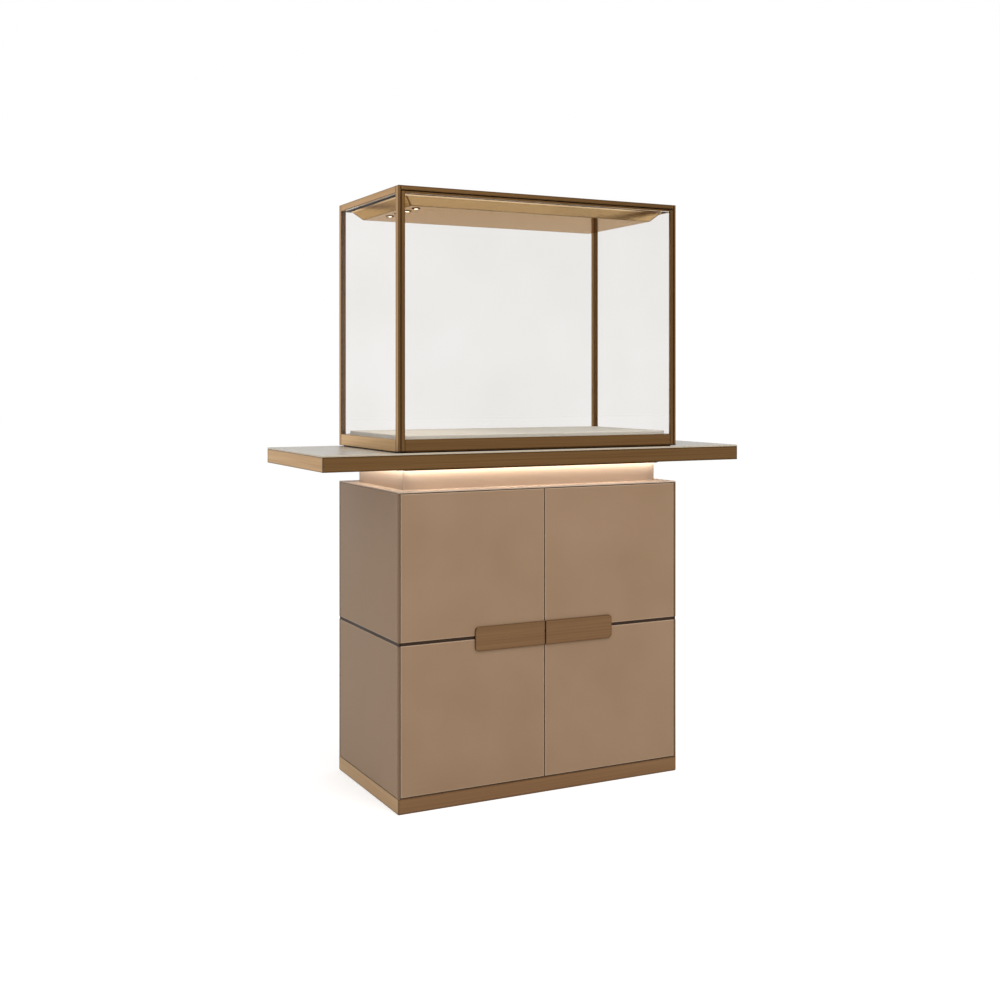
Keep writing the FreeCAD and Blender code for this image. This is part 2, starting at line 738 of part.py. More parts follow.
def vitrine_frame():
    """Posts, top rails and the fixed panes."""
    front_size = ("post_face", "chamber_front - front_y", "vitrine_high - post_low")
    rear_size = ("rear_post", "rear_post", "vitrine_height")
    side_size = ("side_rail", "side_rail_length", "top_rail_height")
    pane_size = ("glass", "side_rail_length", "pane_height")
    posts = []
    rails = []
    for side in SIDES:
        low = on_side(side, ("left_x", "front_y", "post_low"), front_size)
        posts.append(bar(f"front_{side}_post", low, front_size))
        low = on_side(side, ("left_x", "rail_rear", "vitrine_low"), rear_size)
        posts.append(bar(f"rear_{side}_post", low, rear_size))
        low = on_side(side, ("left_x", "chamber_front", "top_rail_low"), side_size)
        rails.append(bar(f"{side}_top_rail", low, side_size))
        low = on_side(side, ("left_x + glass_setback", "chamber_front", "base_rail_high"), pane_size)
        box_node(f"{side}_glass", low, pane_size)
    size = ("body_width - 2 * post_face", "frame_depth", "front_rail_height")
    low = ("left_x + post_face", "front_y", "vitrine_high - front_rail_height")
    rails.append(bar("front_top_rail", low, size))
    size = ("body_width - 2 * rear_post", "rear_post", "top_rail_height")
    rails.append(bar("rear_top_rail", ("left_x + rear_post", "rail_rear", "top_rail_low"), size))
    node("posts", *posts)
    node("top_rails", *rails)
    size = ("body_width - 2 * rear_post", "glass", "pane_height")
    low = ("left_x + rear_post", "rear_y - glass_setback - glass", "base_rail_high")
    box_node("rear_glass", low, size)


def glass_door():
    """The front door: a slim metal frame round one pane, turning on pins at its right-hand edge."""
    stile_size = ("stile", "frame_depth", "glass_door_height")
    stile_low = ("glass_door_x", "front_y", "glass_door_low")
    step_size = ("stile - stile_leg + overrun", "frame_back - door_glass_back + overrun", "pane_height")
    step_low = ("glass_door_x + stile_leg", "door_glass_back", "base_rail_high")
    pivot = ("-glass_door_x - glass_pivot_inset", "front_y + glass_pivot_inset")
    bars = []
    for side in SIDES:
        base = on_side(side, stile_low, stile_size)
        stile = box_body(f"{side}_stile", base, stile_size)
        round_edges(stile, "stile_round", edges_at(stile, x=OUTER_END[side], y="low"))
        cut_box(stile, base, on_side(side, step_low, step_size), step_size)
        if side == "right":
            for z in ("glass_door_low - overrun", "glass_door_high - socket_height - pin_end_room"):
                hole = "socket_height + pin_end_room + overrun"
                bore(stile, base, (*pivot, z), "pin_radius + pin_fit", hole)
        bars.append(stile)
    size = ("-2 * pane_x", "frame_depth", "base_rail_high - glass_door_low")
    bars.append(bar("door_bottom_rail", ("pane_x", "front_y", "glass_door_low"), size))
    size = ("-2 * pane_x", "frame_depth", "glass_door_high - top_rail_low")
    bars.append(bar("door_top_rail", ("pane_x", "front_y", "top_rail_low"), size))
    node("glass_door_frame", *bars)
    size = ("-2 * pane_x", "glass", "pane_height")
    box_node("glass_door_pane", ("pane_x", "front_y + door_glass_setback", "base_rail_high"), size)
    size = ("magnet_length", "strike_thickness", "deck_magnet_height")
    box_node("glass_door_strike", ("deck_x + deck_magnet_inset", "frame_back", "floor_high"), size)

    size = ("glass_plate_length", "frame_depth", "pivot_plate")
    low = ("left_x", "front_y", "vitrine_low")
    pad = box_body("door_rest_pad", low, size)
    base = on_side("right", low, size)
    lower = box_body("door_lower_pivot", base, size)
    add_rod(lower, base, (*pivot, "post_low"), "pin_radius", "glass_pin_length")
    size = ("glass_plate_length - post_face", "frame_depth", "pivot_plate")
    low = ("left_x + post_face", "front_y", "vitrine_high - front_rail_height - pivot_plate")
    base = on_side("right", low, size)
    upper = box_body("door_upper_pivot", base, size)
    pin_z = f"{low[2]} - glass_pin_length"
    add_rod(upper, base, (*pivot, pin_z), "pin_radius", "glass_pin_length")
    node("glass_door_pivot_plates", pad, lower, upper)


def ceiling():
    """The ceiling board, the hipped tray below it, its spotlights and the cover above."""
    size = ("chamber_width", "rail_rear - chamber_front", "ceiling_thickness")
    box_node("ceiling_board", ("chamber_x", "chamber_front", "top_rail_low"), size)
    size = ("chamber_width", "rail_rear - frame_back", "cover_thickness")
    low = ("chamber_x", "frame_back", "vitrine_high - cover_setdown - cover_thickness")
    box_node("top_cover", low, size)

    tray = doc.addObject("PartDesign::Body", "tray_shell")
    tray.Placement = FreeCAD.Placement(FreeCAD.Vector(), ALONG_Y)
    place(tray, ("0", "0", "top_rail_low"))
    for kind, wall in (("PartDesign::AdditiveWedge", "0"), ("PartDesign::SubtractiveWedge", "tray_wall")):
        wedge = tray.newObject(kind, "tray_wedge")
        rim_x = f"tray_half_width - {wall}"
        rim_z = f"tray_half_depth - {wall}"
        foot_x = f"{rim_x} - tray_side_slope"
        foot_z = f"{rim_z} - tray_end_slope"
        bind(wedge, Xmin=f"-({rim_x})", Xmax=rim_x, Zmin=f"-({rim_z})", Zmax=rim_z)
        bind(wedge, X2min=f"-({foot_x})", X2max=foot_x, Z2min=f"-({foot_z})", Z2max=foot_z)
        bind(wedge, Ymin="0", Ymax=f"tray_drop - {wall}")
    housings = []
    bezels = []
    lenses = []
    for number in range(SPOT_COUNT):
        y = f"spot_y + {number} * spot_pitch"
        start = ("spot_x", "tray_drop - tray_wall - overrun", y)
        bore(tray, ("0", "0", "0"), start, "spot_radius + spot_fit", "tray_wall + 2 * overrun", "y")
        start = ("spot_x", y, "tray_low")
        housings.append(disc(f"spot_housing_{number}", start, "spot_radius", "spot_height"))
        base = ("spot_x", y, "tray_low - bezel_height")
        bezel = doc.addObject("PartDesign::Body", f"spot_bezel_{number}")
        place(bezel, base)
        add_rod(bezel, base, base, "bezel_radius", "bezel_height")
        start = ("spot_x", y, "tray_low - bezel_height - overrun")
        bore(bezel, base, start, "lens_radius + spot_fit", "bezel_height + 2 * overrun")
        bezels.append(bezel)
        start = ("spot_x", y, "tray_low - lens_thickness")
        lenses.append(disc(f"spot_lens_{number}", start, "lens_radius", "lens_thickness"))
    node("ceiling_tray", tray)
    node("spot_housings", *housings)
    node("spot_bezels", *bezels)
    node("spot_lenses", *lenses)


plinth()
carcass()
side_panels()
corner_trims()
ledge()
base_pivots()
for door_side in SIDES:
    cabinet_door(door_side)
magnets()
neck()
neck_light()
counter()
vitrine_base()
vitrine_frame()
glass_door()
ceiling()

doc.recompute()
for thing in doc.Objects:
    if {"Invalid", "Error"} & set(thing.State):
        raise RuntimeError(f"{thing.Label} failed: {thing.State}")
for label, thing in NODES.items():
    if thing.Shape.isNull() or not thing.Shape.isValid():
        raise RuntimeError(f"{label} has no valid shape")

os.makedirs("parts", exist_ok=True)
for label, thing in NODES.items():
    thing.Shape.exportStep(f"parts/{label}.step")
    print(label, len(thing.Shape.Solids), round(thing.Shape.Volume, 1))
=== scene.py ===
import math

import bmesh
import bpy
from mathutils import Matrix, Vector


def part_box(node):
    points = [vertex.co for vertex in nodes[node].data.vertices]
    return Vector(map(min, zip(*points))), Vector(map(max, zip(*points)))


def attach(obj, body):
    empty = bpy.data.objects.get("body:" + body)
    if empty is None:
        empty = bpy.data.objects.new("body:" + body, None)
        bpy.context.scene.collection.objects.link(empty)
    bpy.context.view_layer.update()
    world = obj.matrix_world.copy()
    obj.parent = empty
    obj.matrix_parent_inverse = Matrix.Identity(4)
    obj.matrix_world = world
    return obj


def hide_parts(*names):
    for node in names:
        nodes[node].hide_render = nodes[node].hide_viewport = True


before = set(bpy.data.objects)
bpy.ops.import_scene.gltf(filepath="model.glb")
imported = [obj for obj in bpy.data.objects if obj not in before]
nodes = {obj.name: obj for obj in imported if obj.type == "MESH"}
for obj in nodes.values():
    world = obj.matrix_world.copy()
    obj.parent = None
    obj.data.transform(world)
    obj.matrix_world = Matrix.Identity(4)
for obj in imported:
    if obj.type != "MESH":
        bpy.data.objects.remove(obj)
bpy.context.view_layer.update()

# Camera: level, looking in from the front left, in metres, degrees, millimetres and shares of the picture
CAMERA_PLACE = (-1.582, -3.075, 1.038)
CAMERA_TURN = -26.9
CAMERA_LENS = 46.5
CAMERA_SENSOR = 36
CAMERA_SHIFT = -0.1178

# Lamps: place, aimed-at point, width and height in metres, power in watts, colour
LAMPS = {
    "front_softbox": ((0.7, -2.7, 3.4), (0, 0, 0.7), (2.4, 2), 54, (1, 0.97, 0.92)),
    "top_softbox": ((-0.4, -0.4, 3.8), (0, 0, 0.9), (2.5, 2), 26, (1, 0.98, 0.95)),
    "rear_softbox": ((-2.3, 3.6, 1.4), (-0.4, 0, 0.8), (2.6, 2.6), 12, (1, 0.97, 0.92)),
}

# White surroundings and a pale floor
WHITE = (1, 1, 1, 1)
AMBIENT_STRENGTH = 0.55
FLOOR_HALF_WIDTH = 30
FLOOR_COLOR = (0.8, 0.8, 0.8, 1)
FLOOR_LIFT_STRENGTH = 0.57

# Card in front of the case that only gloss shows, so that metal has something dark to mirror
CARD_CORNERS = ((-7, -4.8, 0), (7, -4.8, 0), (7, -4.8, 5), (-7, -4.8, 5))
CARD_LOW_COLOR = (0.50, 0.44, 0.37, 1)
CARD_HIGH_COLOR = (0.34, 0.29, 0.23, 1)
CARD_FADE = (0.2, 1.6)

# Light strips under the counter, and the spotlights in the ceiling tray
STRIP_DROP = 0.0006
STRIP_POWER = {"front": 0.172, "left": 0.066, "right": 0.066}
STRIP_COLOR = (1, 0.96, 0.88)
SPOT_COUNT = 4
SPOT_POWER = 0.8
SPOT_ANGLE = 70
SPOT_BLEND = 0.8
SPOT_DROP = 0.004
SPOT_COLOR = (1, 0.86, 0.68)

# Grains per metre of each finish: along and across where there are two, even where there is one
BRUSH_COARSE = (1.8, 300)
BRUSH_FINE = (9, 1500)
BOARD_GRAIN = (4, 260)
BOARD_PORE = (40, 1800)
LACQUER_CLOUD = 5
LACQUER_PEEL = 700
STONE_CLOUD = 9
STONE_SPECK = 900
GLASS_HAZE = 3
DIODE_GLOW = 45
METAL_GRAIN = 900
PLASTIC_SPARK = 1600

# Parts of a noise's range that are spread from none to all of an effect
MIDDLE_RANGE = (0.3, 0.7)
COARSE_RANGE = (0.32, 0.68)
FINE_RANGE = (0.25, 0.75)
SPECK_RANGE = (0.55, 0.75)
GLOW_RANGE = (0.35, 0.65)

# Edges: cosine of the turn at which an edge starts to show, and at which it shows in full
EDGE_TURN = (0.995, 0.88)
EDGE_SAMPLES = 4
BOARD_EDGE_REACH = 0.001
STONE_EDGE_REACH = 0.006

# Depth of bumps in metres, and shares of one effect in another
BUMP_DEPTH = 0.0002
FINE_SHARE = 0.35
SPECK_SHARE = 0.25

# Distances from the middle at which a bar goes round the corner, in metres
COUNTER_END = 0.5908
RAIL_END = 0.388
PLINTH_END = 0.3985
STILE_START = 0.3824

# Height of the painted highlight along the top rim of the ceiling tray, in metres
TRAY_HIGHLIGHT_HEIGHT = 0.003

# Refractive index of the panes, under real glass's so that they stay as clear as thin panes
PANE_INDEX = 1.05


def linear(hex_color):
    """A colour written as on a screen, as the linear values a shader takes."""
    channels = [int(hex_color[at:at + 2], 16) / 255 for at in (1, 3, 5)]
    return tuple(c / 12.92 if c <= 0.04045 else ((c + 0.055) / 1.055) ** 2.4 for c in channels) + (1,)


def add_node(tree, kind, inputs=None, **settings):
    """Add a node, with its settings, and with values or links for its inputs."""
    node = tree.nodes.new(kind)
    for name, value in settings.items():
        setattr(node, name, value)
    for name, value in (inputs or {}).items():
        if isinstance(value, bpy.types.NodeSocket):
            tree.links.new(value, node.inputs[name])
        else:
            node.inputs[name].default_value = value
    return node


def new_tree(name):
    """A material with an empty node tree."""
    material = bpy.data.materials.new(name)
    material.use_nodes = True
    material.node_tree.nodes.clear()
    return material, material.node_tree


def show(tree, surface):
    """Lead a shader to the material's output."""
    add_node(tree, "ShaderNodeOutputMaterial", {"Surface": surface.outputs[0]})


def position(tree):
    """Where a point of the surface is, in metres, in the part's own frame."""
    return add_node(tree, "ShaderNodeTexCoord").outputs["Object"]


def coordinate(tree, axis):
    """One coordinate of a point of the surface, in metres."""
    return add_node(tree, "ShaderNodeSeparateXYZ", {"Vector": position(tree)}).outputs[axis]


def calculate(tree, operation, *values):
    """The result of a sum or a comparison."""
    return add_node(tree, "ShaderNodeMath", dict(enumerate(values)), operation=operation).outputs[0]


def noise(tree, grains, detail=3, roughness=0.5):
    """Noise with so many grains per metre, the same on each axis or given for each."""
    scales = grains if isinstance(grains, tuple) else (grains, grains, grains)
    spread = add_node(tree, "ShaderNodeMapping", {"Vector": position(tree), "Scale": scales})
    inputs = {"Vector": spread.outputs[0], "Scale": 1, "Detail": detail, "Roughness": roughness}
    return add_node(tree, "ShaderNodeTexNoise", inputs).outputs["Fac"]


def span(tree, value, low, high, to_low=0, to_high=1):
    """Spread a value's range over another."""
    inputs = {"Value": value, "From Min": low, "From Max": high, "To Min": to_low, "To Max": to_high}
    return add_node(tree, "ShaderNodeMapRange", inputs).outputs[0]


def mix_color(tree, share, first, second):
    """Mix two colours."""
    inputs = {0: share, 6: first, 7: second}
    return add_node(tree, "ShaderNodeMix", inputs, data_type="RGBA").outputs[2]


def mix_value(tree, share, first, second):
    """Mix two numbers."""
    inputs = {0: share, 2: first, 3: second}
    return add_node(tree, "ShaderNodeMix", inputs, data_type="FLOAT").outputs[0]


def mix_tones(tree, share, tones):
    """Mix two colours that are written as on a screen."""
    return mix_color(tree, share, linear(tones[0]), linear(tones[1]))


def edge_mask(tree, reach):
    """One along a piece's edges, fading to zero within the reach."""
    rounded = add_node(tree, "ShaderNodeBevel", {"Radius": reach}, samples=EDGE_SAMPLES)
    true = add_node(tree, "ShaderNodeNewGeometry").outputs["Normal"]
    dot = add_node(tree, "ShaderNodeVectorMath", {0: rounded.outputs[0], 1: true}, operation="DOT_PRODUCT")
    return span(tree, dot.outputs["Value"], *EDGE_TURN)


def bump(tree, height, strength):
    """A normal that follows fine bumps."""
    inputs = {"Height": height, "Strength": strength, "Distance": BUMP_DEPTH}
    return add_node(tree, "ShaderNodeBump", inputs).outputs[0]


def principled(tree, **inputs):
    """A principled shader; an underscore in an input's name stands for a space."""
    named = {name.replace("_", " "): value for name, value in inputs.items()}
    return add_node(tree, "ShaderNodeBsdfPrincipled", named)


def lengthwise(along, grains):
    """Grains per metre on each axis, for a grain that runs along one of them."""
    return tuple(grains[0] if axis == along else grains[1] for axis in "xyz")


def brush_marks(tree, along):
    """Coarse and fine brush marks along an axis."""
    coarse = noise(tree, lengthwise(along, BRUSH_COARSE), detail=4, roughness=0.6)
    fine = noise(tree, lengthwise(along, BRUSH_FINE), detail=2)
    return coarse, fine


def brushed(
    name, tones, along, reach, edge="#4a3319", rough=(0.26, 0.40), tint="#faf3e8", outer=None, rim=None,
):
    """Brushed metal with painted shade along its edges.

    The outer part says how the metal is brushed past a distance from the middle: the axis of the brushing,
    the distance and the tones; where these tones are paler, they paint the light that falls on the end faces.
    A rim highlight is the height above which the metal has a painted highlight, and that highlight's colour.
    """
    material, tree = new_tree(name)
    coarse, fine = brush_marks(tree, along)
    if outer:
        outer_along, limit, outer_tones = outer
        outer_coarse, outer_fine = brush_marks(tree, outer_along)
        distance = calculate(tree, "ABSOLUTE", coordinate(tree, "X"))
        past = calculate(tree, "GREATER_THAN", distance, limit)
        coarse = mix_value(tree, past, coarse, outer_coarse)
        fine = mix_value(tree, past, fine, outer_fine)
    streak = mix_value(tree, FINE_SHARE, span(tree, coarse, *COARSE_RANGE), span(tree, fine, *FINE_RANGE))
    color = mix_tones(tree, streak, tones)
    if outer:
        color = mix_color(tree, past, color, mix_tones(tree, streak, outer_tones))
    color = mix_color(tree, edge_mask(tree, reach), color, linear(edge))
    # Painted highlight above the rim's height
    if rim:
        height, highlight_color = rim
        above = calculate(tree, "GREATER_THAN", coordinate(tree, "Z"), height)
        color = mix_color(tree, above, color, linear(highlight_color))
    shader = principled(
        tree,
        Base_Color=color,
        Metallic=1,
        Roughness=span(tree, streak, 0, 1, rough[1], rough[0]),
        Normal=bump(tree, fine, strength=0.12),
        Specular_Tint=linear(tint),
    )
    show(tree, shader)
    return material


def lacquer(name, tones, rough, edge, specular, reach=0.0024):
    """Lacquer with a faint orange peel, and edges painted in another tone: a painted highlight where paler,
    painted shade where darker.
    """
    material, tree = new_tree(name)
    cloud = span(tree, noise(tree, LACQUER_CLOUD, detail=2), *MIDDLE_RANGE)
    peel = noise(tree, LACQUER_PEEL, detail=2)
    tone = mix_tones(tree, cloud, tones)
    shader = principled(
        tree,
        Base_Color=mix_color(tree, edge_mask(tree, reach), tone, linear(edge)),
        Roughness=span(tree, cloud, 0, 1, *rough),
        Normal=bump(tree, peel, strength=0.05),
        Specular_IOR_Level=specular,
    )
    show(tree, shader)
    return material


def grained_board(name, tones, along):
    """Coated board with a fine straight grain and paler edges."""
    material, tree = new_tree(name)
    lines = noise(tree, lengthwise(along, BOARD_GRAIN), detail=5, roughness=0.6)
    grain = span(tree, lines, *MIDDLE_RANGE)
    pore = noise(tree, lengthwise(along, BOARD_PORE), detail=2)
    tone = mix_tones(tree, grain, tones)
    shader = principled(
        tree,
        Base_Color=mix_color(tree, edge_mask(tree, BOARD_EDGE_REACH), tone, linear(tones[1])),
        Roughness=span(tree, pore, *MIDDLE_RANGE, 0.48, 0.6),
        Normal=bump(tree, pore, strength=0.15),
    )
    show(tree, shader)
    return material


def stone_top(name, tones, speck_color, edge):
    """Smooth pale counter top with soft clouds, fine specks and a painted highlight along its edges."""
    material, tree = new_tree(name)
    cloud = span(tree, noise(tree, STONE_CLOUD, detail=5, roughness=0.6), *MIDDLE_RANGE)
    speck = span(tree, noise(tree, STONE_SPECK, detail=2), *SPECK_RANGE, 0, SPECK_SHARE)
    specked = mix_color(tree, speck, mix_tones(tree, cloud, tones), linear(speck_color))
    shader = principled(
        tree,
        Base_Color=mix_color(tree, edge_mask(tree, STONE_EDGE_REACH), specked, linear(edge)),
        Roughness=span(tree, cloud, 0, 1, 0.30, 0.38),
        Specular_IOR_Level=0.4,
    )
    show(tree, shader)
    return material


def clear_pane(name, tones, lamp_tint):
    """Clear glass that lets lamps through to what it covers."""
    material, tree = new_tree(name)
    haze = span(tree, noise(tree, GLASS_HAZE), *MIDDLE_RANGE)
    pane = principled(
        tree,
        Base_Color=mix_tones(tree, haze, tones),
        Roughness=0,
        IOR=PANE_INDEX,
        Transmission_Weight=1,
        Coat_Weight=0.04,
        Coat_Roughness=0,
    )
    through = add_node(tree, "ShaderNodeBsdfTransparent", {"Color": linear(lamp_tint)})
    lamp_ray = add_node(tree, "ShaderNodeLightPath").outputs["Is Shadow Ray"]
    inputs = {0: lamp_ray, 1: pane.outputs[0], 2: through.outputs[0]}
    show(tree, add_node(tree, "ShaderNodeMixShader", inputs))
    return material


def lit_plastic(name, tones, strength):
    """Milky plastic with light behind it, a little brighter over each diode."""
    material, tree = new_tree(name)
    glow = span(tree, noise(tree, DIODE_GLOW, detail=1), *GLOW_RANGE)
    tone = mix_tones(tree, glow, tones)
    shader = principled(
        tree,
        Base_Color=tone,
        Roughness=0.45,
        Emission_Color=tone,
        Emission_Strength=strength,
    )
    show(tree, shader)
    return material


def plain_metal(name, tones, rough):
    """Small metal parts with a fine all-round grain."""
    material, tree = new_tree(name)
    grain = span(tree, noise(tree, METAL_GRAIN), *MIDDLE_RANGE)
    shader = principled(
        tree,
        Base_Color=mix_tones(tree, grain, tones),
        Metallic=1,
        Roughness=span(tree, grain, 0, 1, *rough),
    )
    show(tree, shader)
    return material


def moulded_plastic(name, tones):
    """Dark moulded plastic with a fine spark texture."""
    material, tree = new_tree(name)
    spark = noise(tree, PLASTIC_SPARK)
    shader = principled(
        tree,
        Base_Color=mix_tones(tree, span(tree, spark, *MIDDLE_RANGE), tones),
        Roughness=span(tree, spark, *MIDDLE_RANGE, 0.42, 0.6),
        Normal=bump(tree, spark, strength=0.2),
    )
    show(tree, shader)
    return material


# Pairs of tones that a finish varies between
BRONZE = ("#745636", "#93734c")
# The side pairs are paler copies that paint the light falling on the bars' end faces
LIT_SIDE_BRONZE = ("#83633f", "#a17f57")
LOW_BRONZE = ("#6d5138", "#806347")
LIT_LOW_SIDE_BRONZE = ("#8d7051", "#a78964")
COVER_BRONZE = ("#7d5f3d", "#8a6b46")
BASE_BRONZE = ("#7f5b37", "#9e774b")
LIT_BASE_SIDE_BRONZE = ("#8e6f4a", "#a98a62")
TRAY_BRONZE = ("#b6966a", "#bfa177")
BOARD = ("#8c7868", "#9a8675")

# Painted shade along the edges of bars, and the height and colour of the painted highlight on the tray's rim
EDGE_SHADE = "#2a1805"
TRAY_RIM_HIGHLIGHT = (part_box("ceiling_tray")[1].z - TRAY_HIGHLIGHT_HEIGHT, "#e2c6a2")

# Lowest and highest roughness of lacquers
SATIN = (0.40, 0.50)
MATT = (0.5, 0.6)
DULL = (0.8, 0.9)

# Each finish: the function that makes it, and its settings; an edge colour is a painted highlight where
# paler, painted shade where darker
looks = {
    "upright_bronze": (brushed, dict(tones=BRONZE, along="z", reach=0.0024, edge=EDGE_SHADE)),
    "cross_bronze": (brushed, dict(tones=COVER_BRONZE, along="x", reach=0.002)),
    "handle_bronze": (brushed, dict(tones=LOW_BRONZE, along="x", reach=0.002)),
    "counter_bronze": (brushed, dict(
        tones=BRONZE, along="x", reach=0.006, edge=EDGE_SHADE, outer=("y", COUNTER_END, LIT_SIDE_BRONZE),
    )),
    "rail_bronze": (brushed, dict(
        tones=BRONZE, along="x", reach=0.005, edge=EDGE_SHADE, outer=("y", RAIL_END, LIT_SIDE_BRONZE),
    )),
    "base_bronze": (brushed, dict(
        tones=BASE_BRONZE, along="x", reach=0.002, edge=EDGE_SHADE, outer=("y", RAIL_END, LIT_BASE_SIDE_BRONZE),
    )),
    "plinth_bronze": (brushed, dict(
        tones=LOW_BRONZE, along="x", reach=0.005, edge=EDGE_SHADE, outer=("y", PLINTH_END, LIT_LOW_SIDE_BRONZE),
    )),
    "door_bronze": (brushed, dict(
        tones=BRONZE, along="x", reach=0.0024, edge=EDGE_SHADE, outer=("z", STILE_START, BRONZE),
    )),
    "polished_bronze": (brushed, dict(
        tones=TRAY_BRONZE, along="x", reach=0.007, edge=EDGE_SHADE, rough=(0.10, 0.18), tint="#d6bd9c",
        rim=TRAY_RIM_HIGHLIGHT,
    )),
    "taupe_lacquer": (lacquer, dict(
        tones=("#a2856a", "#a98c72"), rough=SATIN, edge="#d8bea4", specular=0.1, reach=0.0032,
    )),
    "trim_lacquer": (lacquer, dict(
        tones=("#86694f", "#8f735a"), rough=SATIN, edge="#5c4633", specular=0.2, reach=0.0012,
    )),
    "peach_lacquer": (lacquer, dict(
        tones=("#ccb5a1", "#d2bca8"), rough=MATT, edge="#dfcab7", specular=0.2,
    )),
    "deck_lacquer": (lacquer, dict(
        tones=("#d1cbc1", "#dad4cb"), rough=MATT, edge="#e6e1da", specular=0.15, reach=0.003,
    )),
    # Nearly black: on the foot under the vitrine and the board over the ceiling tray, this darkness is partly
    # painted shade in the gaps
    "dark_lacquer": (lacquer, dict(
        tones=("#1f1811", "#281f16"), rough=DULL, edge="#30261b", specular=0.02,
    )),
    "dark_lining": (lacquer, dict(
        tones=("#2e1f14", "#38271a"), rough=MATT, edge="#45311f", specular=0.2,
    )),
    "board": (grained_board, dict(tones=BOARD, along="z")),
    "flat_board": (grained_board, dict(tones=BOARD, along="x")),
    "pale_top": (stone_top, dict(tones=("#98938b", "#a5a099"), speck_color="#a8a39c", edge="#e6d5ba")),
    "clear_glass": (clear_pane, dict(tones=("#f3f2f0", "#f8f7f6"), lamp_tint="#f4f7f6")),
    "hardware_steel": (plain_metal, dict(tones=("#a9a7a3", "#c4c2be"), rough=(0.25, 0.38))),
    "dark_steel": (plain_metal, dict(tones=("#3c342c", "#4a4138"), rough=(0.35, 0.48))),
    # Dark anodised finish; on the light channels it is kept this dark partly as painted shade under the
    # counter's band
    "dark_aluminium": (plain_metal, dict(tones=("#3b2917", "#4a3520"), rough=(0.45, 0.58))),
    "strip_light": (lit_plastic, dict(tones=("#ffe2b8", "#fff6e6"), strength=1.5)),
    "spot_light": (lit_plastic, dict(tones=("#fff0d8", "#fff6e6"), strength=6)),
    "black_plastic": (moulded_plastic, dict(tones=("#141414", "#1d1d1d"))),
}
materials = {name: make(name, **settings) for name, (make, settings) in looks.items()}

# The nodes that have each finish
node_materials = {
    "upright_bronze": ["posts"],
    "cross_bronze": ["top_cover"],
    "handle_bronze": ["left_door_handle", "right_door_handle"],
    "counter_bronze": ["counter_edge_band"],
    "rail_bronze": ["top_rails"],
    "base_bronze": ["vitrine_base_rails"],
    "plinth_bronze": ["plinth_band"],
    "door_bronze": ["glass_door_frame"],
    "polished_bronze": ["ceiling_tray", "spot_bezels"],
    "taupe_lacquer": [
        "left_side_panels", "right_side_panels", "left_door_upper_panel", "left_door_lower_panel",
        "right_door_upper_panel", "right_door_lower_panel",
    ],
    "trim_lacquer": ["corner_trims"],
    "peach_lacquer": ["neck_panels", "ledge_panel", "ledge_trim"],
    "deck_lacquer": ["display_deck"],
    "dark_lacquer": ["vitrine_foot", "ceiling_board"],
    "board": [
        "carcass_back", "carcass_left_side", "carcass_right_side", "centre_divider", "left_door_core",
        "right_door_core",
    ],
    "flat_board": [
        "plinth_frame", "carcass_bottom", "carcass_top", "shelves", "shelf_cleats", "counter_core",
        "vitrine_floor",
    ],
    "pale_top": ["counter_top"],
    "clear_glass": ["left_glass", "right_glass", "rear_glass", "glass_door_pane"],
    "hardware_steel": [
        "left_door_strike", "right_door_strike", "glass_door_strike", "left_handle_screws",
        "right_handle_screws",
    ],
    "dark_steel": [
        "base_pivot_plates", "glass_door_pivot_plates", "left_door_pivot_sockets",
        "right_door_pivot_sockets",
    ],
    "dark_aluminium": ["led_channels", "spot_housings"],
    "strip_light": ["led_strips", "led_diffusers"],
    "spot_light": ["spot_lenses"],
    "black_plastic": ["led_driver", "power_inlet", "magnet_catches"],
}
for material_name, names in node_materials.items():
    for name in names:
        slots = nodes[name].data.materials
        slots.clear()
        slots.append(materials[material_name])

# Small forms, in metres
ARRIS_SEGMENTS = 2
TURNED_SEGMENTS = 24
PANE_CLEARANCE = 0.0004
PANE_ARRIS = 0.0006
LINING_RECESS = 0.001
LINING_ARRIS = 0.0002
HEAD_RADIUS = 0.004
SHANK_RADIUS = 0.0021
FLAT_HEAD_HEIGHT = 0.0008
FLAT_SHANK_LENGTH = 0.010
BUMPER_RADIUS = 0.0035
BUMPER_HEIGHT = 0.0017
BUMPER_FROM_GAP = 0.005
BUMPER_FROM_ENDS = 0.035
BACK_SCREW_INSET = 0.012
BACK_SCREW_ROWS = 4
COVER_SCREW_INSET = 0.014
COVER_SCREW_COLUMNS = 4
INLET_PIN_SIZE = (0.0042, 0.011, 0.0018)
INLET_PIN_PLACES = ((-0.006, -0.003), (0.006, -0.003), (0, 0.003))
INLET_RECESS_DEPTH = 0.016
INLET_SCREW_OFFSET = 0.018
PIN_ARRIS = 0.0005

# Turned forms: rows of a share of the radius, a share of the height and, unless round, a number of corners
SCREW_HEAD = (
    (0.97, 0), (1, 0.12), (1, 0.5), (0.94, 0.78), (0.78, 1), (0.44, 1, 6), (0.44, 0.4, 6),
)
BUMPER = ((1, 0), (1, 0.4), (0.86, 0.75), (0.5, 0.96), (0.12, 1))
BEZEL_INSIDE = ((1, 0), (1, 0.7), (1.06, 0.93), (1.16, 1))
BEZEL_OUTSIDE = ((0.88, 0.9), (0.97, 0.55), (1, 0.15), (1, 0))
LENS = ((0.99, 0), (0.99, 0.3), (0.8, 0.65), (0.5, 0.9), (0.12, 1))

# Panes: the node each stands for, the axis of its thickness, and its body
PANES = {
    "left_pane": ("left_glass", 0, "case"),
    "right_pane": ("right_glass", 0, "case"),
    "rear_pane": ("rear_glass", 1, "case"),
    "door_pane": ("glass_door_pane", 1, "glass_door"),
}

UP = (0, 0, 1)
DOWN = (0, 0, -1)
REARWARD = (0, 1, 0)


